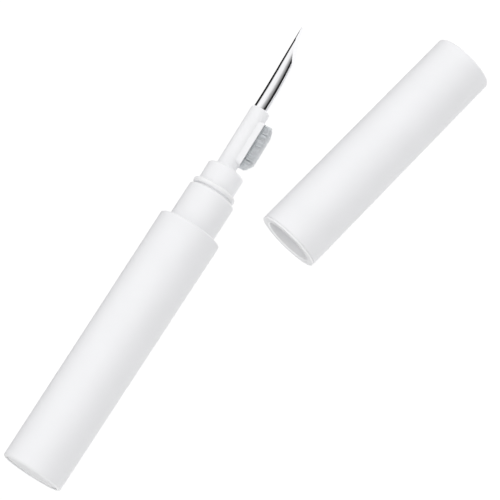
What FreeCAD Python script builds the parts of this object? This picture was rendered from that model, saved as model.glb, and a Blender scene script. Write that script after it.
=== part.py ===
import FreeCAD, Part
import math
import os

# Pocket cleaning pen: a barrel, a pull-out double-ended core and a pull-off cap.
# All sizes are in millimetres. The pen's axis runs along +X, and the pen and its
# cap lie side by side on the table, Z = 0. While the pieces are made, X = 0 is the
# plane of the barrel's mouth and the axis is the X axis itself; everything is moved
# to the table and to the origin at the end.

V = FreeCAD.Vector
X_AXIS = V(1, 0, 0)
Z_AXIS = V(0, 0, 1)

# ---------------------------------------------------------------- driving sizes
mouth_radius = 7.75            # outside radius of the barrel and of the cap at their mouths
draft_angle = 0.25             # mould draft of both outer shells, degrees a side
shell_bore = 6.70              # inside radius of both shells, which take the inner sleeves
edge_radius = 0.30             # rounding of the shells' mouth edges

barrel_length = 66.1
barrel_foot_rounding = 0.60    # rounding of the barrel's closed end
plug_inset = 0.30              # end plug's face, below the barrel's foot
plug_thickness = 2.2
plug_gap = 0.26                # shadow gap round the visible face of the plug
plug_gap_depth = 0.8

fit_radius = 5.90              # bore that the core's neck slides in, barrel and cap alike
seal_radius = 5.46             # land beyond it in the barrel, which the rear ring slides in
cap_seal_radius = 5.72         # the same land in the cap, for the front ring
land_length = 4.6
mouth_chamfer = 0.20

neck_radius = 5.82
neck_front = 9.38              # neck that stands out of the barrel
neck_rear = 11.9               # neck inside the barrel
neck_rounding = 0.42
groove_width = 0.52            # gap between the neck's shoulder and a seal ring
groove_radius = 4.85           # floor of that gap
ring_width = 1.30
ring_outer = 5.38
ring_rounding = 0.55
front_ring_shift = 0.26        # the front ring sits to one side, like the nose ahead of it
spigot_radius = 4.00           # carries a seal ring at each end of the neck
holder_bore = 3.60             # hole through the neck, which takes both holders
holder_depth = 8.0             # how far each holder's root goes in

nose_base_radius = 4.50
nose_top_radius = 4.58
nose_length = 5.0
nose_rounding = 0.75
nose_offset = 0.24             # sideways place of the front nose's axis at its base
tool_lean = 1.4                # the front nose and stem lean away from the brush, degrees

stem_base_radius = 2.40
stem_top_radius = 2.36
stem_top = 32.45               # stem's end, from the barrel's mouth
stem_offset = 0.88             # sideways place of the stem's axis at the nose's top
stem_fillet = 0.85
stem_end_rounding = 0.40

brush_start = 18.30            # first and last tuft edges, from the barrel's mouth
brush_end = 29.75
brush_reach = 5.33             # bristle ends, from the stem's axis
trim_length = 2.6              # stretch at each end over which the bristles get shorter
brush_width = 2.40             # over the outer rows
tuft_rows = 3
tufts_per_row = 12
tuft_root = 0.70               # how far a tuft goes into the brush strip
strip_depth = 1.47             # brush strip, a bar on a flat cut along the stem's side
strip_proud = 0.38             # how far its face stands out of the stem's side
strip_width = 4.06
strip_rounding = 0.15
strip_end_rounding = 0.90      # rounding of the strip's ends, seen from its side
anchor_thickness = 0.20        # flat wire anchor under each tuft

rod_radius = 1.76              # polished rod, at the stem's end
rod_seat = 0.30                # how far the rod starts inside the stem
rod_waist = 38.0               # where it starts to taper
rod_waist_radius = 1.73
rod_neck = 44.8                # where its bevel starts
rod_neck_radius = 1.52
blade_root = 51.4              # where the bevel has thinned the rod to a blade
blade_root_radius = 1.10
rod_end = 54.4
rod_end_radius = 0.62
rod_side = 3.20                # straight flank of the rod, from the pen's axis, at the stem
rod_waist_side = 3.30          # the same flank at the waist
rod_neck_side = 3.58           # where the bevel starts
blade_side = 3.83              # where the blade starts
rod_end_side = 3.96            # and at the point
blade_thickness = 0.58         # blade at its root and at its point
point_thickness = 0.42
bevel_lean = 22.0              # the bevel faces a little upwards, degrees
point_start = 51.0             # from here the blade gets lower towards its point
point_start_height = 1.02      # half heights there and at the point
point_end_height = 0.20
shank_radius = 0.90
shank_length = 8.0

sponge_stem_radius = 2.00
sponge_stem_end = 42.0         # lengths behind the barrel's mouth
foam_start = 27.5
foam_end = 45.5
foam_radius = 3.00
flock_thickness = 0.45

cap_length = 59.0
cap_end_wall = 2.1
cap_end_rounding = 0.8
lip_thickness = 0.42           # liner's lip, which covers the end of the cap's shell
lip_rounding = 0.18
lip_seam_rounding = 0.12        # the lip's rear edge and the shell's edge behind it
shell_seam_rounding = 0.24
cap_forward = 9.25             # centre of the cap's mouth, ahead of the barrel's mouth
cap_aside = 20.38              # and beside the pen's axis
cap_turn = 11.72               # angle between the cap's axis and the pen's, degrees

core_travel = 79.0             # the core is drawn right out of the barrel
cap_stop_gap = 0.10            # gap between neck and cap when the core is pushed home

# ---------------------------------------------------------------- worked-out places
fit_depth = neck_rear + cap_stop_gap
cap_fit_depth = neck_front + cap_stop_gap
ring_start = neck_front + groove_width
nose_start = ring_start + ring_width
nose_top = nose_start + nose_length
rear_shift = neck_rear - neck_front      # the core's rear end repeats its front end
table_z = mouth_radius


def lathe(profile):
    """Solid turned about the X axis from a closed outline of (x, radius) points."""
    points = [V(x, radius, 0) for x, radius in profile]
    points.append(points[0])
    face = Part.Face(Part.makePolygon(points))
    return face.revolve(V(0, 0, 0), X_AXIS, 360)


def rim_edges(shape, x, radius):
    """Full-circle edges of a turned shape at a given place along X with a given radius."""
    found = []
    for edge in shape.Edges:
        curve = edge.Curve
        if isinstance(curve, Part.Circle) and abs(curve.Radius - radius) < 0.02:
            if abs(curve.Center.x - x) < 0.02:
                found.append(edge)
    return found


def round_rim(shape, x, radius, size):
    """The shape with its circular edge at x rounded."""
    return shape.makeFillet(size, rim_edges(shape, x, radius))


def chamfer_rim(shape, x, radius, size):
    """The shape with its circular edge at x chamfered."""
    return shape.makeChamfer(size, rim_edges(shape, x, radius))


def mirrored(shape):
    """The shape turned end for end about the middle of the core's neck."""
    middle = -rear_shift / 2.0
    turned = shape.copy()
    turned.rotate(V(middle, 0, 0), Z_AXIS, 180)
    return turned


def drafted(length):
    """Outside radius of a shell at a distance from its mouth."""
    return mouth_radius - length * math.tan(math.radians(draft_angle))


# ---------------------------------------------------------------- barrel
def make_barrel_shell():
    foot = -barrel_length
    foot_radius = drafted(barrel_length)
    shell = lathe([(foot, shell_bore), (foot, foot_radius), (0, mouth_radius), (0, shell_bore)])
    shell = round_rim(shell, 0, mouth_radius, edge_radius)
    return round_rim(shell, foot, foot_radius, barrel_foot_rounding)


def make_barrel_sleeve():
    step = -fit_depth
    inner_end = step - land_length
    sleeve = lathe([
        (0, fit_radius), (0, shell_bore), (inner_end, shell_bore),
        (inner_end, seal_radius), (step, seal_radius), (step, fit_radius),
    ])
    sleeve = chamfer_rim(sleeve, 0, fit_radius, mouth_chamfer)
    return chamfer_rim(sleeve, inner_end, seal_radius, 2 * mouth_chamfer)


def make_barrel_end_plug():
    face = -barrel_length + plug_inset
    inner = face + plug_thickness
    skirt_radius = shell_bore - 1.0
    skirt_end = inner + 2.0
    plug = lathe([
        (face, 0), (face, shell_bore - plug_gap), (face + plug_gap_depth, shell_bore - plug_gap),
        (face + plug_gap_depth, shell_bore), (skirt_end, shell_bore), (skirt_end, skirt_radius),
        (inner, skirt_radius), (inner, 0),
    ])
    return round_rim(plug, face, shell_bore - plug_gap, 0.15)


# ---------------------------------------------------------------- core
def make_core_body():
    front = neck_front
    rear = -neck_rear
    spigot = groove_width + ring_width
    body = lathe([
        (rear - spigot, holder_bore), (rear - spigot, spigot_radius),
        (rear - groove_width, spigot_radius), (rear - groove_width, groove_radius),
        (rear, groove_radius), (rear, neck_radius), (front, neck_radius),
        (front, groove_radius), (front + groove_width, groove_radius),
        (front + groove_width, spigot_radius), (front + spigot, spigot_radius),
        (front + spigot, holder_bore),
    ])
    body = round_rim(body, front, neck_radius, neck_rounding)
    return round_rim(body, rear, neck_radius, neck_rounding)


def make_seal_ring(shift):
    """Soft ring on a spigot, its outside pushed sideways by shift."""
    end = ring_start + ring_width
    ring = lathe([(ring_start, 0), (ring_start, ring_outer), (end, ring_outer), (end, 0)])
    ring = round_rim(ring, ring_start, ring_outer, ring_rounding)
    ring = round_rim(ring, end, ring_outer, ring_rounding)
    ring.translate(V(0, shift, 0))
    seat = Part.makeCylinder(spigot_radius, ring_width + 2.0, V(ring_start - 1.0, 0, 0), X_AXIS)
    return ring.cut(seat)


def make_root():
    """Root of either holder, which is pressed into the core's bore."""
    return Part.makeCylinder(holder_bore, holder_depth + 1.0, V(nose_start - holder_depth, 0, 0), X_AXIS)


def make_nose(start):
    """Nose that holds a seal ring on, from start to the nose's top."""
    nose = lathe([(start, 0), (start, nose_base_radius), (nose_top, nose_top_radius), (nose_top, 0)])
    return round_rim(nose, nose_top, nose_top_radius, nose_rounding)


def make_front_nose():
    """The front nose leans with the stem, and its base is trimmed square to the pen's axis."""
    nose = make_nose(nose_start - 1.0)
    nose.rotate(V(nose_start, 0, 0), Z_AXIS, tool_lean)
    nose.translate(V(0, nose_offset, 0))
    side = 4 * nose_top_radius
    ahead = Part.makeBox(side, side, side, V(nose_start, -side / 2.0, -side / 2.0))
    return nose.common(ahead)


def on_stem(shape):
    """Puts a shape made on the X axis onto the leaning axis of the stem."""
    placed = shape.copy()
    placed.rotate(V(nose_top, 0, 0), Z_AXIS, tool_lean)
    placed.translate(V(0, stem_offset, 0))
    return placed


def make_stem():
    flare = stem_base_radius + stem_fillet
    start = nose_top - 1.0
    fillet_end = nose_top + stem_fillet
    start_arc = V(nose_top, flare, 0)
    end_arc = V(fillet_end, stem_base_radius, 0)
    bulge = stem_fillet * (1 - math.sqrt(0.5))
    mid_arc = V(nose_top + bulge, stem_base_radius + bulge, 0)
    top = stem_top
    edges = [
        Part.LineSegment(V(start, 0, 0), V(start, flare, 0)).toShape(),
        Part.LineSegment(V(start, flare, 0), start_arc).toShape(),
        Part.Arc(start_arc, mid_arc, end_arc).toShape(),
        Part.LineSegment(end_arc, V(top, stem_top_radius, 0)).toShape(),
        Part.LineSegment(V(top, stem_top_radius, 0), V(top, 0, 0)).toShape(),
        Part.LineSegment(V(top, 0, 0), V(start, 0, 0)).toShape(),
    ]
    stem = Part.Face(Part.Wire(edges)).revolve(V(0, 0, 0), X_AXIS, 360)
    return round_rim(stem, top, stem_top_radius, stem_end_rounding)


def strip_block():
    """Block of the brush strip with rounded ends, on the stem's own straight axis."""
    face = stem_top_radius + strip_proud
    block = Part.makeBox(brush_end - brush_start, strip_depth, strip_width)
    block.translate(V(brush_start, -face, -strip_width / 2.0))
    corners = [edge for edge in block.Edges if edge.BoundBox.YLength > strip_depth / 2.0]
    return block.makeFillet(strip_end_rounding, corners)


def make_strip_bar():
    """The strip's block with the edges round its outer face softened."""
    bar = strip_block()
    face = stem_top_radius + strip_proud
    outer = []
    for edge in bar.Edges:
        box = edge.BoundBox
        if box.YLength < 1e-6 and abs(box.Center.y + face) < 1e-6:
            outer.append(edge)
    return bar.makeFillet(strip_rounding, outer)


def strip_slot():
    """Cut that makes the strip's flat seat, open through the side of the stem."""
    slot = strip_block()
    opening = slot.copy()
    opening.translate(V(0, -strip_depth, 0))
    return slot.fuse(opening)


def make_tool_holder():
    holder = make_root().fuse([make_front_nose(), on_stem(make_stem())]).removeSplitter()
    holder = holder.cut(on_stem(strip_slot()))
    socket = Part.makeCylinder(shank_radius, shank_length, V(stem_top - shank_length, 0, 0), X_AXIS)
    holder = holder.cut(shank_placed(socket))
    return holder


def tuft_places():
    """Centres of the tufts along and across the strip, on the stem's own axis."""
    pitch = (brush_end - brush_start) / tufts_per_row
    row_pitch = brush_width / tuft_rows
    places = []
    for row in range(tuft_rows):
        z = (row - (tuft_rows - 1) / 2.0) * row_pitch
        for i in range(tufts_per_row):
            places.append((brush_start + (i + 0.5) * pitch, z))
    return places, 0.44 * min(pitch, row_pitch)


def trim_height(x):
    """How far the bristles reach at x: level, with both ends rounded off."""
    start = 1.5 * max(0.0, 1 - (x - brush_start) / trim_length) ** 2
    end = 0.75 * max(0.0, 1 - (brush_end - x) / trim_length) ** 2
    return brush_reach - start - end


def make_brush_tufts():
    places, radius = tuft_places()
    root = stem_top_radius + strip_proud - tuft_root
    tufts = []
    for x, z in places:
        height = trim_height(x) - root
        tufts.append(Part.makeCylinder(radius, height, V(x, -root, z), V(0, -1, 0)))
    return on_stem(Part.makeCompound(tufts))


def make_brush_strip():
    places, radius = tuft_places()
    face = stem_top_radius + strip_proud
    depth = tuft_root + anchor_thickness
    holes = [Part.makeCylinder(radius, depth, V(x, -face + depth, z), V(0, -1, 0)) for x, z in places]
    return on_stem(make_strip_bar().cut(Part.makeCompound(holes)))


def make_brush_anchors():
    places, radius = tuft_places()
    root = stem_top_radius + strip_proud - tuft_root
    anchors = []
    for x, z in places:
        anchor = Part.makeBox(1.6 * radius, anchor_thickness, 0.7 * radius)
        anchor.translate(V(x - 0.8 * radius, -root, z - 0.35 * radius))
        anchors.append(anchor)
    return on_stem(Part.makeCompound(anchors))


def rod_circle(x, side, radius):
    """Section of the rod whose straight flank is at the given distance from the axis."""
    return Part.Wire(Part.makeCircle(radius, V(x, side - radius, 0), X_AXIS))


def shank_placed(shape):
    """Puts the shank, made on the X axis, square behind the rod's first section."""
    placed = shape.copy()
    placed.translate(V(0, rod_side - rod_radius, 0))
    return placed


def make_bevel_cutter():
    """Wedge that takes the rod's brush side away, down to a thin blade at its point."""
    bottom = rod_neck_side - 2 * rod_neck_radius
    blade = blade_side - blade_thickness
    point = rod_end_side - point_thickness
    beyond = rod_end + 1.0
    outline = [
        V(rod_neck, bottom, 0), V(blade_root, blade, 0), V(rod_end, point, 0),
        V(beyond, point, 0), V(beyond, bottom - 3, 0), V(rod_neck, bottom - 3, 0),
    ]
    face = Part.Face(Part.makePolygon(outline + [outline[0]]))
    wedge = face.extrude(V(0, 0, 8))
    wedge.translate(V(0, 0, -4))
    wedge.rotate(V(blade_root, blade, 0), X_AXIS, -bevel_lean)
    return wedge


def make_point_cutters():
    """Two wedges that take the blade down from above and below to a sharp point."""
    beyond = rod_end + 1.0
    outline = [
        V(point_start, 0, point_start_height), V(rod_end, 0, point_end_height),
        V(beyond, 0, point_end_height), V(beyond, 0, 3), V(point_start, 0, 3),
    ]
    above = Part.Face(Part.makePolygon(outline + [outline[0]])).extrude(V(0, 8, 0))
    below = above.mirror(V(0, 0, 0), V(0, 0, 1))
    return above.fuse(below)


def make_metal_tip():
    neck = rod_circle(rod_neck, rod_neck_side, rod_neck_radius)
    rod = Part.makeLoft([
        rod_circle(stem_top - rod_seat, rod_side, rod_radius),
        rod_circle(rod_waist, rod_waist_side, rod_waist_radius),
        neck,
    ], True, False)
    blade = Part.makeLoft([
        neck,
        rod_circle(blade_root, blade_side, blade_root_radius),
        rod_circle(rod_end, rod_end_side, rod_end_radius),
    ], True, True)
    shank = Part.makeCylinder(shank_radius, shank_length, V(stem_top - shank_length, 0, 0), X_AXIS)
    tip = rod.fuse([blade, shank_placed(shank)])
    tip = tip.cut(make_bevel_cutter()).cut(make_point_cutters())
    return tip.cut(make_tool_holder())


def make_sponge_holder():
    """Rear nose with the straight stem that carries the foam head."""
    rear_nose = mirrored(make_root().fuse(make_nose(nose_start)))
    nose_end = nose_top + rear_shift
    stem = Part.makeCylinder(sponge_stem_radius, sponge_stem_end - nose_end + 1.0,
                             V(1.0 - nose_end, 0, 0), V(-1, 0, 0))
    holder = rear_nose.fuse(stem).removeSplitter()
    return round_rim(holder, -sponge_stem_end, sponge_stem_radius, 0.5)


def domed(start, end, radius, nose):
    """Solid of revolution from -start to -end with a rounded free end."""
    body = lathe([(-start, 0), (-start, radius), (-end, radius), (-end, 0)])
    body = round_rim(body, -end, radius, nose)
    return round_rim(body, -start, radius, 0.5)


def stem_in_foam():
    length = sponge_stem_end - foam_start + 1.0
    stem = Part.makeCylinder(sponge_stem_radius, length, V(1.0 - foam_start, 0, 0), V(-1, 0, 0))
    return round_rim(stem, -sponge_stem_end, sponge_stem_radius, 0.5)


def make_sponge_foam():
    return domed(foam_start, foam_end, foam_radius, 2.6).cut(stem_in_foam())


def make_flock_cover():
    start = foam_start - flock_thickness
    outer = domed(start, foam_end + flock_thickness, foam_radius + flock_thickness, 3.0)
    inner = domed(foam_start, foam_end, foam_radius, 2.6)
    throat = Part.makeCylinder(sponge_stem_radius, 2.0, V(1.0 - foam_start, 0, 0), V(-1, 0, 0))
    return outer.cut(inner).cut(throat)


# ---------------------------------------------------------------- cap, on the X axis from its mouth
def make_cap_shell():
    start = lip_thickness
    start_radius = drafted(start)
    far_radius = drafted(cap_length)
    floor = cap_length - cap_end_wall
    shell = lathe([
        (start, shell_bore), (start, start_radius), (cap_length, far_radius),
        (cap_length, 0), (floor, 0), (floor, shell_bore),
    ])
    shell = round_rim(shell, cap_length, far_radius, cap_end_rounding)
    return round_rim(shell, start, start_radius, shell_seam_rounding)


def make_cap_liner():
    inner_end = cap_fit_depth + land_length
    liner = lathe([
        (0, fit_radius), (0, mouth_radius), (lip_thickness, mouth_radius),
        (lip_thickness, shell_bore), (inner_end, shell_bore), (inner_end, cap_seal_radius),
        (cap_fit_depth, cap_seal_radius), (cap_fit_depth, fit_radius),
    ])
    liner = round_rim(liner, 0, mouth_radius, lip_rounding)
    liner = round_rim(liner, lip_thickness, mouth_radius, lip_seam_rounding)
    liner = chamfer_rim(liner, 0, fit_radius, mouth_chamfer)
    return chamfer_rim(liner, inner_end, cap_seal_radius, 2 * mouth_chamfer)


def on_cap(shape):
    """Lays a cap piece beside the pen."""
    placed = shape.copy()
    placed.rotate(V(0, 0, 0), Z_AXIS, -cap_turn)
    placed.translate(V(cap_forward, -cap_aside, 0))
    return placed


def make_parts():
    """Every piece by name, lying on the table with the origin under the layout's middle."""
    parts = {
        "barrel_shell": make_barrel_shell(),
        "barrel_sleeve": make_barrel_sleeve(),
        "barrel_end_plug": make_barrel_end_plug(),
        "core_body": make_core_body(),
        "front_seal_ring": make_seal_ring(front_ring_shift),
        "rear_seal_ring": mirrored(make_seal_ring(0.0)),
        "tool_holder": make_tool_holder(),
        "metal_tip": make_metal_tip(),
        "brush_strip": make_brush_strip(),
        "brush_tufts": make_brush_tufts(),
        "brush_anchors": make_brush_anchors(),
        "sponge_holder": make_sponge_holder(),
        "sponge_foam": make_sponge_foam(),
        "flock_cover": make_flock_cover(),
        "cap_shell": on_cap(make_cap_shell()),
        "cap_liner": on_cap(make_cap_liner()),
    }
    outer = Part.makeCompound([parts["barrel_shell"], parts["cap_shell"], parts["cap_liner"]])
    box = outer.optimalBoundingBox(False)
    shift = V(-(box.XMin + box.XMax) / 2.0, -(box.YMin + box.YMax) / 2.0, table_z)
    for shape in parts.values():
        shape.translate(shift)
    return parts, shift


parts, origin_shift = make_parts()
os.makedirs("parts", exist_ok=True)
for name, shape in parts.items():
    shape.exportStep("parts/" + name + ".step")

# Joint places: the centre of the barrel's mouth, and the pole of the cap's swing, which
# brings the cap from beside the pen to straight ahead of it.
mouth_centre = V(origin_shift)
cap_mouth = V(cap_forward, -cap_aside, 0)
cap_ahead = V(core_travel, 0, 0)
move = cap_ahead - cap_mouth
half_turn = math.radians(cap_turn) / 2.0
across = V(-move.y, move.x, 0) * (0.5 / math.tan(half_turn))
swing_pole = (cap_mouth + cap_ahead) * 0.5 + across + origin_shift
print("mouth centre", mouth_centre)
print("cap mouth centre", cap_mouth + origin_shift)
print("swing pole", swing_pole)
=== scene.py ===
import math
import random

import bmesh
import bpy
from mathutils import Matrix, Vector


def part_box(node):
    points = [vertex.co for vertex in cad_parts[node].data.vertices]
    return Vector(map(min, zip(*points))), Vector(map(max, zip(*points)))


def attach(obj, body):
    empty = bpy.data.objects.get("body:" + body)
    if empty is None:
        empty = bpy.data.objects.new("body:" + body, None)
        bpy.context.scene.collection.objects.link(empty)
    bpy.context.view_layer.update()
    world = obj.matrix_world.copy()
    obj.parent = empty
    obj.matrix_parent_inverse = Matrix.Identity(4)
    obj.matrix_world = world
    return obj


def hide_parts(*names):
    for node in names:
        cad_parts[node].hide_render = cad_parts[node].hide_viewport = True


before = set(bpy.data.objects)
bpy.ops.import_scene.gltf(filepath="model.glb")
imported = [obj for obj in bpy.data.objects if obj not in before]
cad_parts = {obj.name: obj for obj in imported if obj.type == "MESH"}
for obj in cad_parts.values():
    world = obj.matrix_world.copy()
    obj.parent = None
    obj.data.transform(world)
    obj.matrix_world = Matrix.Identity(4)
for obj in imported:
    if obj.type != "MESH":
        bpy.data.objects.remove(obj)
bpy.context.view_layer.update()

MM = 0.001

# Camera: weak perspective from well above the table, turned round the view axis
# so that the pen stands at a slant with its tip up.
CAMERA_AZIMUTH = -55.33
CAMERA_ELEVATION = 75.80
CAMERA_ROLL = -2.715
CAMERA_DISTANCE = 658.5 * MM
CAMERA_LENS = 206.6
CAMERA_AIM = Vector((4.69, -13.00, -7.724)) * MM     # from the centre of the barrel's mouth

# Brush, from the brush strip's box
STEM_LEAN = math.radians(1.4)
STRIP_DEPTH = 1.47 * MM
BRUSH_LENGTH = 11.45 * MM
BRUSH_WIDTH = 2.40 * MM
BRISTLE_REACH = 2.59 * MM          # bristle ends, from the strip's face
TRIM_LENGTH = 2.6 * MM             # length of each sloped end
TRIM_START = 1.50 * MM             # how much shorter the first and the last bristles are
TRIM_END = 0.75 * MM
ROOT_DEPTH = 0.35 * MM             # how far the bristles go into the strip
BRISTLE_RADIUS = 0.052 * MM
BRISTLE_PITCH = 0.135 * MM
CLUMP_LENGTH = 0.27 * MM           # bristles keep together in clumps of this size
CLUMP_WIDTH = 0.80 * MM

# Painted shade at the barrel's foot: a patchy grey
FOOT_SHADE_GREY = (0.85, 0.853, 0.86)
FOOT_SHADE_REACH = 0.30 * MM               # how far the painted shade reaches along the barrel
FOOT_FADE = 0.35                   # millimetres over which it fades

# Flocked sponge
FLOCK_THICKNESS = 0.45 * MM
FIBRE_RADIUS = 0.022 * MM
FIBRE_COUNT = 7000

shell_low, shell_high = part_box("barrel_shell")
neck_low, neck_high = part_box("core_body")
PEN_AXIS = Vector((0.0, (neck_low.y + neck_high.y) / 2, (neck_low.z + neck_high.z) / 2))
MOUTH = Vector((shell_high.x, PEN_AXIS.y, PEN_AXIS.z))

# ---------------------------------------------------------------- node helpers
class Shader:
    """One material's node tree, with short calls to add and join nodes."""

    def __init__(self, name):
        self.material = bpy.data.materials.new(name)
        self.material.use_nodes = True
        self.nodes = self.material.node_tree.nodes
        self.links = self.material.node_tree.links
        self.surface = self.nodes["Principled BSDF"]

    def add(self, kind, **settings):
        node = self.nodes.new("ShaderNode" + kind)
        for key, value in settings.items():
            setattr(node, key, value)
        return node

    def join(self, source, target, socket):
        self.links.new(source, target.inputs[socket])

    def place(self, scale):
        """Object coordinates scaled by (x, y, z): 1000 makes them millimetres."""
        coordinates = self.add("TexCoord")
        mapping = self.add("Mapping")
        mapping.inputs["Scale"].default_value = scale
        self.join(coordinates.outputs["Object"], mapping, "Vector")
        return mapping.outputs["Vector"]

    def noise(self, scale, detail=3.0, roughness=0.5, stretch=(1, 1, 1)):
        """Noise whose grain is about 1/scale millimetres."""
        texture = self.add("TexNoise")
        texture.inputs["Scale"].default_value = scale
        texture.inputs["Detail"].default_value = detail
        texture.inputs["Roughness"].default_value = roughness
        spread = tuple(1000.0 * s for s in stretch)
        self.join(self.place(spread), texture, "Vector")
        return texture.outputs["Fac"]

    def spread(self, source, low, high, start=0.3, end=0.7):
        """Maps a 0 to 1 value onto low to high."""
        node = self.add("MapRange")
        node.inputs["From Min"].default_value = start
        node.inputs["From Max"].default_value = end
        node.inputs["To Min"].default_value = low
        node.inputs["To Max"].default_value = high
        self.join(source, node, "Value")
        return node.outputs["Result"]

    def blend(self, factor, first, second):
        """Mixes two colours."""
        node = self.add("Mix", data_type="RGBA")
        node.inputs["A"].default_value = (*first, 1)
        node.inputs["B"].default_value = (*second, 1)
        self.join(factor, node, "Factor")
        return node.outputs["Result"]

    def bump(self, *layers):
        """Adds bumps one over the other: (height, depth in mm)."""
        previous = None
        for height, depth in layers:
            node = self.add("Bump")
            node.inputs["Strength"].default_value = 1.0
            node.inputs["Distance"].default_value = depth * MM
            self.join(height, node, "Height")
            if previous:
                self.join(previous, node, "Normal")
            previous = node.outputs["Normal"]
        self.join(previous, self.surface, "Normal")

    def set(self, **values):
        for key, value in values.items():
            self.surface.inputs[key.replace("_", " ")].default_value = value


def moulded_plastic(name, light, dark, gloss_low, gloss_high, grain=0.0012, foot=None):
    """Satin injection-moulded plastic: faint orange peel, fine spark texture, hairline marks.

    With foot, the end that the pen stands on gets painted shade, a patchy grey, from that x backwards.
    """
    shader = Shader(name)
    cloud = shader.noise(0.12, detail=4)
    colour = shader.blend(shader.spread(cloud, 0, 1), light, dark)
    if foot is not None:
        along = shader.add("SeparateXYZ")
        shader.join(shader.place((1000, 1000, 1000)), along, "Vector")
        # Painted shade: grey fading in towards the foot's end, made patchy by noise.
        painted_shade_fade = shader.spread(along.outputs["X"], 1, 0, (foot / MM), (foot / MM) + FOOT_FADE)
        patches = shader.spread(shader.noise(1.6, detail=5, roughness=0.65), 0.75, 1.0)
        share = shader.add("Math", operation="MULTIPLY")
        shader.links.new(painted_shade_fade, share.inputs[0])
        shader.links.new(patches, share.inputs[1])
        painted_shade_mix = shader.add("Mix", data_type="RGBA")
        painted_shade_mix.inputs["B"].default_value = (*FOOT_SHADE_GREY, 1)
        shader.join(share.outputs[0], painted_shade_mix, "Factor")
        shader.join(colour, painted_shade_mix, "A")
        colour = painted_shade_mix.outputs["Result"]
    shader.join(colour, shader.surface, "Base Color")
    smudge = shader.noise(0.35, detail=6, roughness=0.62)
    shader.join(shader.spread(smudge, gloss_low, gloss_high), shader.surface, "Roughness")
    peel = shader.noise(1.1, detail=2)
    spark = shader.noise(11.0, detail=3, roughness=0.6)
    scratches = shader.noise(3.0, detail=2, stretch=(0.08, 1, 1))
    hairline = shader.spread(scratches, 0, 1, 0.66, 0.72)
    shader.bump((peel, 0.006), (spark, grain), (hairline, 0.0012))
    shader.set(Subsurface_Weight=0.10, Subsurface_Scale=0.0012, Specular_IOR_Level=0.42, IOR=1.46)
    shader.surface.inputs["Subsurface Radius"].default_value = (1.0, 1.0, 1.0)
    return shader.material


def polished_steel(name):
    """Polished stainless steel with fine lengthwise polishing lines."""
    shader = Shader(name)
    lines = shader.noise(6.0, detail=4, roughness=0.65, stretch=(0.06, 1, 1))
    shader.join(shader.blend(shader.spread(lines, 0, 1), (0.90, 0.90, 0.91), (0.80, 0.80, 0.82)),
                shader.surface, "Base Color")
    haze = shader.noise(0.8, detail=5, roughness=0.6)
    shader.join(shader.spread(haze, 0.02, 0.05), shader.surface, "Roughness")
    shader.bump((lines, 0.0004))
    shader.set(Metallic=1.0)
    return shader.material


def silicone(name):
    """Milky silicone rubber."""
    shader = Shader(name)
    cloud = shader.noise(0.6, detail=3)
    shader.join(shader.blend(shader.spread(cloud, 0, 1), (0.880, 0.882, 0.890), (0.855, 0.857, 0.866)),
                shader.surface, "Base Color")
    bloom = shader.noise(2.2, detail=5)
    shader.join(shader.spread(bloom, 0.34, 0.50), shader.surface, "Roughness")
    shader.bump((shader.noise(5.0, detail=3), 0.003))
    shader.set(Subsurface_Weight=0.30, Subsurface_Scale=0.0008)
    shader.surface.inputs["Subsurface Radius"].default_value = (1.0, 1.0, 1.0)
    return shader.material


def bristle_nylon(name):
    """Fine translucent filament, with painted shade that darkens it towards the roots, in the depth of
    the brush.
    """
    shader = Shader(name)
    shade = shader.add("VertexColor", layer_name="Depth")
    # Painted shade: the Depth colours give a darker tint at the roots.
    tint = shader.blend(shade.outputs["Color"], (0.76, 0.80, 0.83), (0.97, 0.985, 1.0))
    shader.join(tint, shader.surface, "Base Color")
    streak = shader.noise(8.0, detail=2)
    shader.join(shader.spread(streak, 0.42, 0.60), shader.surface, "Roughness")
    shader.bump((streak, 0.002))
    shader.set(Subsurface_Weight=0.35, Subsurface_Scale=0.0004)
    shader.surface.inputs["Subsurface Radius"].default_value = (1.0, 1.0, 1.0)
    return shader.material


def foam(name):
    """Open-cell foam, with painted shade in the pores."""
    shader = Shader(name)
    cells = shader.add("TexVoronoi")
    cells.inputs["Scale"].default_value = 4.5
    shader.join(shader.place((1000, 1000, 1000)), cells, "Vector")
    distance = cells.outputs["Distance"]
    # Painted shade: darker in the middle of each pore, lighter on the cell walls.
    pore_shade_mask = shader.spread(distance, 0, 1, 0.1, 0.6)
    colour = shader.blend(pore_shade_mask, (0.62, 0.62, 0.64), (0.84, 0.84, 0.85))
    shader.join(colour, shader.surface, "Base Color")
    shader.join(shader.spread(distance, 0.75, 0.95), shader.surface, "Roughness")
    shader.bump((distance, 0.06))
    return shader.material


def velvet(name):
    """Short upright flock fibres."""
    shader = Shader(name)
    cloud = shader.noise(1.4, detail=5, roughness=0.65)
    shader.join(shader.blend(shader.spread(cloud, 0, 1), (0.86, 0.86, 0.88), (0.72, 0.72, 0.75)),
                shader.surface, "Base Color")
    nap = shader.noise(9.0, detail=3)
    shader.join(shader.spread(nap, 0.80, 0.98), shader.surface, "Roughness")
    shader.bump((nap, 0.02))
    shader.set(Sheen_Weight=0.45, Sheen_Roughness=0.4)
    return shader.material


def bright_wire(name):
    """Drawn brass wire."""
    shader = Shader(name)
    lines = shader.noise(9.0, detail=3, stretch=(0.1, 1, 1))
    shader.join(shader.blend(shader.spread(lines, 0, 1), (0.74, 0.60, 0.32), (0.60, 0.46, 0.22)),
                shader.surface, "Base Color")
    shader.join(shader.spread(lines, 0.22, 0.36), shader.surface, "Roughness")
    shader.bump((lines, 0.001))
    shader.set(Metallic=1.0)
    return shader.material


# ---------------------------------------------------------------- mesh pieces
def finish_piece(name, mesh_data, material, body, slot, *nodes):
    """Makes a mesh object that stands for CAD nodes and moves with a body."""
    piece = bpy.data.objects.new(name, mesh_data)
    bpy.context.scene.collection.objects.link(piece)
    mesh_data.materials.append(material)
    mesh_data.shade_smooth()
    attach(piece, body)
    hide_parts(*nodes)
    return piece


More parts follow.
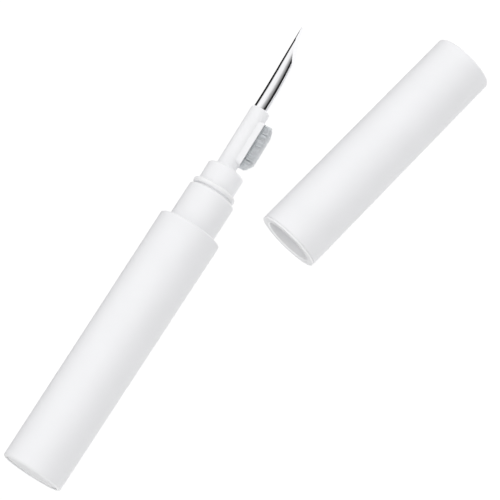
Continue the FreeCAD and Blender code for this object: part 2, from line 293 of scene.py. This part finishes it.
def filament(mesh, rings, radii, sides, shade_layer=None, shades=None):
    """Adds one tapered tube along a list of points, closed at its free end."""
    loops = []
    for i, centre in enumerate(rings):
        ahead = rings[min(i + 1, len(rings) - 1)] - rings[max(i - 1, 0)]
        first = ahead.orthogonal().normalized()
        second = ahead.normalized().cross(first)
        loop = []
        for k in range(sides):
            angle = 2 * math.pi * k / sides
            offset = (first * math.cos(angle) + second * math.sin(angle)) * radii[i]
            loop.append(mesh.verts.new(centre + offset))
        loops.append(loop)
    faces = []
    for i in range(len(loops) - 1):
        for k in range(sides):
            corners = (loops[i][k], loops[i][(k + 1) % sides],
                       loops[i + 1][(k + 1) % sides], loops[i + 1][k])
            faces.append((mesh.faces.new(corners), i))
    faces.append((mesh.faces.new(loops[-1]), len(loops) - 2))
    faces.append((mesh.faces.new(list(reversed(loops[0]))), 0))
    if shade_layer is not None:
        level = {vert: shades[i] for i, loop in enumerate(loops) for vert in loop}
        for face, _ in faces:
            for corner in face.loops:
                value = level[corner.vert]
                corner[shade_layer] = (value, value, value, 1)


def brush_trim(s):
    """Bristle height at s along the brush: level, with sloped ends."""
    start = TRIM_START * max(0.0, 1 - s / TRIM_LENGTH) ** 2
    end = TRIM_END * max(0.0, 1 - (BRUSH_LENGTH - s) / TRIM_LENGTH) ** 2
    return BRISTLE_REACH - start - end


def make_bristles(material):
    rng = random.Random(11)
    low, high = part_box("brush_strip")
    along = Vector((math.cos(STEM_LEAN), math.sin(STEM_LEAN), 0))
    out = Vector((math.sin(STEM_LEAN), -math.cos(STEM_LEAN), 0))
    up = Vector((0, 0, 1))
    face = (low + high) / 2 + out * (STRIP_DEPTH / 2)
    mesh = bmesh.new()
    shade = mesh.loops.layers.color.new("Depth")
    columns = int(BRUSH_LENGTH / BRISTLE_PITCH)
    rows = int(BRUSH_WIDTH / BRISTLE_PITCH)
    clumps = {}
    for i in range(columns):
        for j in range(rows):
            s = (i + 0.5 + rng.uniform(-0.42, 0.42)) * BRISTLE_PITCH
            z = (j + 0.5 + rng.uniform(-0.42, 0.42)) * BRISTLE_PITCH - BRUSH_WIDTH / 2
            clump = (int(s / CLUMP_LENGTH), int((z + BRUSH_WIDTH / 2) / CLUMP_WIDTH))
            if clump not in clumps:
                clumps[clump] = (rng.gauss(0, 0.035), rng.uniform(0.72, 1.0), rng.uniform(0.97, 1.0))
            clump_lean, clump_shade, clump_height = clumps[clump]
            height = brush_trim(s) * clump_height * rng.uniform(0.965, 1.0)
            splay_s = clump_lean + rng.gauss(0, 0.015)
            splay_z = (z / BRUSH_WIDTH) * 0.10 + rng.gauss(0, 0.035)
            bend = rng.gauss(0, 0.02)
            root = face + along * (s - BRUSH_LENGTH / 2) + up * z - out * ROOT_DEPTH
            rings = []
            shades = []
            for t in (0.0, 0.34, 0.67, 1.0):
                reach = (height + ROOT_DEPTH) * t
                drift = along * (splay_s * reach + bend * reach * t) + up * (splay_z * reach)
                rings.append(root + out * reach + drift)
                # Painted shade: each bristle is darker towards its root, times a random tone per clump.
                shades.append(clump_shade * (0.15 + 0.85 * t ** 0.7) * rng.uniform(0.92, 1.0))
            radii = [BRISTLE_RADIUS, BRISTLE_RADIUS, BRISTLE_RADIUS * 0.95, BRISTLE_RADIUS * 0.6]
            filament(mesh, rings, radii, 4, shade, shades)
    data = bpy.data.meshes.new("brush_bristles")
    mesh.to_mesh(data)
    mesh.free()
    return finish_piece("brush_bristles", data, material, "core", "bristle", "brush_tufts")


def head_radius(s, length, radius, free_dome, neck_round):
    """Outline of the sponge head: rounded at the stem, domed at the free end."""
    value = radius
    if s < neck_round:
        value = radius - neck_round + math.sqrt(max(0.0, neck_round ** 2 - (neck_round - s) ** 2))
    left = length - s
    if left < free_dome:
        value = radius - free_dome + math.sqrt(max(0.0, free_dome ** 2 - (free_dome - left) ** 2))
    return max(value, 0.0)


def head_mesh(name, low, high, free_dome, neck_round, lumps, seed):
    """Revolved sponge head with soft lumps, from the stem end towards -X."""
    rng = random.Random(seed)
    length = high.x - low.x
    radius = (high.z - low.z) / 2
    axis_y = (low.y + high.y) / 2
    axis_z = (low.z + high.z) / 2
    rings, sides = 72, 72
    waves = [(rng.uniform(1, 6), rng.randint(2, 7), rng.uniform(0, 6.3)) for _ in range(7)]
    mesh = bmesh.new()
    loops = []
    for i in range(rings + 1):
        s = length * (0.5 - 0.5 * math.cos(math.pi * i / rings))
        base = head_radius(s, length, radius, free_dome, neck_round)
        loop = []
        for k in range(sides):
            angle = 2 * math.pi * k / sides
            wave = sum(math.sin(f * s / length * 6.3 + n * angle + p) for f, n, p in waves) / len(waves)
            r = base * (1 - lumps * (0.6 + wave))
            position = (high.x - s, axis_y + r * math.cos(angle), axis_z + r * math.sin(angle))
            loop.append(mesh.verts.new(position))
        loops.append(loop)
    for i in range(rings):
        for k in range(sides):
            j = (k + 1) % sides
            mesh.faces.new((loops[i][k], loops[i][j], loops[i + 1][j], loops[i + 1][k]))
    bmesh.ops.remove_doubles(mesh, verts=mesh.verts, dist=1e-7)
    bmesh.ops.holes_fill(mesh, edges=mesh.edges, sides=0)
    bmesh.ops.recalc_face_normals(mesh, faces=mesh.faces)
    return mesh


def make_foam_head(material):
    low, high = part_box("sponge_foam")
    mesh = head_mesh("foam_head", low, high, 2.6 * MM, 0.5 * MM, 0.01, 3)
    data = bpy.data.meshes.new("foam_head")
    mesh.to_mesh(data)
    mesh.free()
    piece = finish_piece("foam_head", data, material, "core", "foam", "sponge_foam")
    return piece


def make_flock_coat(material):
    """Velvet skin with thousands of short fibres standing on it."""
    rng = random.Random(5)
    low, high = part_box("flock_cover")
    skin = FLOCK_THICKNESS * 0.55
    inset = Vector((skin, skin, skin))
    mesh = head_mesh("flock", low + inset, high - inset, 2.8 * MM, 0.6 * MM, 0.02, 8)
    mesh.faces.ensure_lookup_table()
    faces = list(mesh.faces)
    areas = [face.calc_area() for face in faces]
    spots = []
    for face in rng.choices(faces, weights=areas, k=FIBRE_COUNT):
        corners = [vert.co for vert in face.verts]
        weights = [rng.random() + 0.05 for _ in corners]
        total = sum(weights)
        point = sum((c * (w / total) for c, w in zip(corners, weights)), Vector())
        spots.append((point, face.normal.copy()))
    for point, normal in spots:
        tilt = Vector((rng.gauss(0, 0.28), rng.gauss(0, 0.28), rng.gauss(0, 0.28)))
        direction = (normal + tilt).normalized()
        length = skin * rng.uniform(0.75, 1.0)
        start = point - normal * (0.05 * MM)
        rings = [start, start + direction * length]
        filament(mesh, rings, [FIBRE_RADIUS, FIBRE_RADIUS * 0.6], 3)
    data = bpy.data.meshes.new("flock_coat")
    mesh.to_mesh(data)
    mesh.free()
    piece = finish_piece("flock_coat", data, material, "core", "flock", "flock_cover")
    return piece


# ---------------------------------------------------------------- materials on the CAD pieces
shell_colours = ((0.880, 0.882, 0.898), (0.862, 0.864, 0.880))
shell_white = moulded_plastic("shell_white", *shell_colours, 0.34, 0.46)
foot_white = moulded_plastic("foot_white", *shell_colours, 0.34, 0.46, foot=shell_low.x + FOOT_SHADE_REACH)
# Painted light: the sleeve and cap-liner white is lighter than the shell white. This is partly a
# lighter plastic and partly painted light that brightens the cap's mouth.
sleeve_colours = ((0.925, 0.927, 0.935), (0.900, 0.902, 0.912))
sleeve_white = moulded_plastic("sleeve_white", *sleeve_colours, 0.28, 0.40, 0.0006)
core_colours = ((0.882, 0.884, 0.898), (0.864, 0.866, 0.880))
core_white = moulded_plastic("core_white", *core_colours, 0.32, 0.44, 0.0009)
seal_white = silicone("seal_silicone")
steel = polished_steel("polished_steel")
nylon = bristle_nylon("bristle_nylon")
CAD_MATERIALS = {
    "barrel_shell": foot_white,
    "barrel_sleeve": sleeve_white,
    "barrel_end_plug": foot_white,
    "core_body": core_white,
    "front_seal_ring": seal_white,
    "rear_seal_ring": seal_white,
    "tool_holder": core_white,
    "metal_tip": steel,
    "brush_strip": core_white,
    "brush_anchors": bright_wire("anchor_wire"),
    "sponge_holder": core_white,
    "cap_shell": shell_white,
    "cap_liner": sleeve_white,
}
for node_name, node_material in CAD_MATERIALS.items():
    cad_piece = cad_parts[node_name]
    cad_piece.data.materials.clear()
    cad_piece.data.materials.append(node_material)

make_bristles(nylon)
make_foam_head(foam("open_foam"))
make_flock_coat(velvet("flock_velvet"))


# ---------------------------------------------------------------- stage, light and camera
def make_floor():
    """Large pale floor that glows faintly, so the pen lies on clean white."""
    bpy.ops.mesh.primitive_plane_add(size=6.0, location=(0, 0, 0))
    floor = bpy.context.active_object
    floor.name = "studio_floor"
    shader = Shader("floor_white")
    shader.set(Base_Color=(0.12, 0.12, 0.12, 1), Roughness=0.9, Specular_IOR_Level=0.0,
               Emission_Color=(1, 1, 1, 1), Emission_Strength=0.93)
    floor.data.materials.append(shader.material)
    floor.visible_glossy = False


# Light levels by direction. Angles are degrees from straight up, turning towards -Y.
SOFT_SKY = ((-90, 0.14), (-60, 0.64), (-30, 1.31), (0, 1.31), (30, 1.06), (60, 0.48), (90, 0.02))
# What shines back from glossy surfaces: soft boxes with dark flags between them.
MIRROR_SKY = (
    (-180, 1.06), (-175, 1.06), (-170, 0.02), (-90, 0.02), (-80, 0.96), (-60, 1.14),
    (-12, 1.04), (2, 0.78), (18, 0.47), (30, 0.34), (40, 0.20), (48, 0.02), (80, 0.02),
    (90, 0.60), (104, 1.00), (130, 1.15), (180, 1.10),
)
# Factor along the pen: x of the direction, from the barrel's foot to the pick. Light from
# beyond the pick draws a bright line along each front rim.
END_LIGHT = ((-1.0, 1.40), (-0.6, 0.92), (0.5, 0.93), (1.0, 1.80))


def make_world():
    """Studio surround: a wide soft light overhead, dimmer towards the floor, brighter at both ends."""
    world = bpy.data.worlds.new("studio")
    bpy.context.scene.world = world
    world.use_nodes = True
    nodes, links = world.node_tree.nodes, world.node_tree.links
    nodes.clear()

    def math_node(operation, first, second):
        node = nodes.new("ShaderNodeMath")
        node.operation = operation
        for socket, value in zip(node.inputs, (first, second)):
            if isinstance(value, float):
                socket.default_value = value
            else:
                links.new(value, socket)
        return node.outputs[0]

    def levels(source, start, end, stops):
        """A grey level read off a list of (position, level) stops."""
        peak = max(level for _, level in stops)
        ramp = nodes.new("ShaderNodeValToRGB")
        elements = ramp.color_ramp.elements
        while len(elements) > 1:
            elements.remove(elements[-1])
        for i, (place, level) in enumerate(stops):
            position = (place - start) / (end - start)
            stop = elements[0] if i == 0 else elements.new(position)
            stop.position = position
            stop.color = (level / peak, level / peak, level / peak, 1)
        spread = nodes.new("ShaderNodeMapRange")
        spread.inputs["From Min"].default_value = start
        spread.inputs["From Max"].default_value = end
        links.new(source, spread.inputs["Value"])
        links.new(spread.outputs["Result"], ramp.inputs["Fac"])
        return math_node("MULTIPLY", ramp.outputs["Color"], peak)

    coordinates = nodes.new("ShaderNodeTexCoord")
    parts = nodes.new("ShaderNodeSeparateXYZ")
    links.new(coordinates.outputs["Generated"], parts.inputs[0])
    side = math_node("MULTIPLY", parts.outputs["Y"], -1.0)
    turn = math_node("MULTIPLY", math_node("ARCTAN2", side, parts.outputs["Z"]), 180 / math.pi)
    along = levels(parts.outputs["X"], -1, 1, END_LIGHT)
    soft = math_node("MULTIPLY", levels(turn, -180, 180, SOFT_SKY), along)
    mirror = levels(turn, -180, 180, MIRROR_SKY)
    path = nodes.new("ShaderNodeLightPath")
    light = nodes.new("ShaderNodeMix")
    links.new(path.outputs["Is Glossy Ray"], light.inputs["Factor"])
    links.new(soft, light.inputs["A"])
    links.new(mirror, light.inputs["B"])
    surround = nodes.new("ShaderNodeBackground")
    links.new(light.outputs["Result"], surround.inputs["Strength"])
    backdrop = nodes.new("ShaderNodeBackground")
    pick = nodes.new("ShaderNodeMixShader")
    output = nodes.new("ShaderNodeOutputWorld")
    for ground in (surround, backdrop):
        ground.inputs["Color"].default_value = (1, 1, 1, 1)
    links.new(path.outputs["Is Camera Ray"], pick.inputs[0])
    links.new(surround.outputs[0], pick.inputs[1])
    links.new(backdrop.outputs[0], pick.inputs[2])
    links.new(pick.outputs[0], output.inputs["Surface"])


def make_camera():
    azimuth = math.radians(CAMERA_AZIMUTH)
    elevation = math.radians(CAMERA_ELEVATION)
    back = Vector((
        math.sin(azimuth) * math.cos(elevation),
        -math.cos(azimuth) * math.cos(elevation),
        math.sin(elevation),
    ))
    data = bpy.data.cameras.new("camera")
    data.lens = CAMERA_LENS
    data.sensor_width = 36.0
    data.clip_start, data.clip_end = 0.01, 20.0
    camera = bpy.data.objects.new("camera", data)
    bpy.context.scene.collection.objects.link(camera)
    level = (-back).to_track_quat("-Z", "Y").to_matrix().to_4x4()
    turn = Matrix.Rotation(math.radians(CAMERA_ROLL), 4, "Z")
    camera.matrix_world = Matrix.Translation(MOUTH + CAMERA_AIM + back * CAMERA_DISTANCE) @ level @ turn
    bpy.context.scene.camera = camera


make_floor()
make_world()
make_camera()
bpy.context.scene.view_settings.view_transform = "Standard"
bpy.context.scene.view_settings.look = "None"
